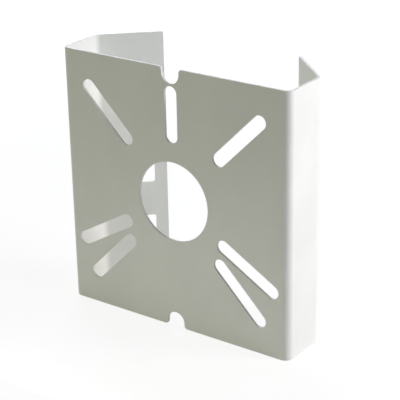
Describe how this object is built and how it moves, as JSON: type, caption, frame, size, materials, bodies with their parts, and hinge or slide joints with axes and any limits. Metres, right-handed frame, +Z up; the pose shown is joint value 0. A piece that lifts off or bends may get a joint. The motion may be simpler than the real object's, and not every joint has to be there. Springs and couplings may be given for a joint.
{
  "type": "camera pole mount bracket",
  "caption": "Folded sheet-metal bracket that straps to a pole and carries a camera: slotted front plate with a round cable hole, side walls and angled rear flanges with band slots.",
  "frame": {"origin": "middle of the cable hole, on the plate's front face", "axes": "-Y out of the plate's front face towards the camera, +Y back towards the pole, +X across the plate, +Z up"},
  "size_m": [0.15, 0.056, 0.1526],
  "materials": {
    "powder_coat": "satin, fine-textured pale grey powder coat"
  },
  "bodies": {
    "root": {"bracket": "powder_coat"}
  },
  "joints": []
}
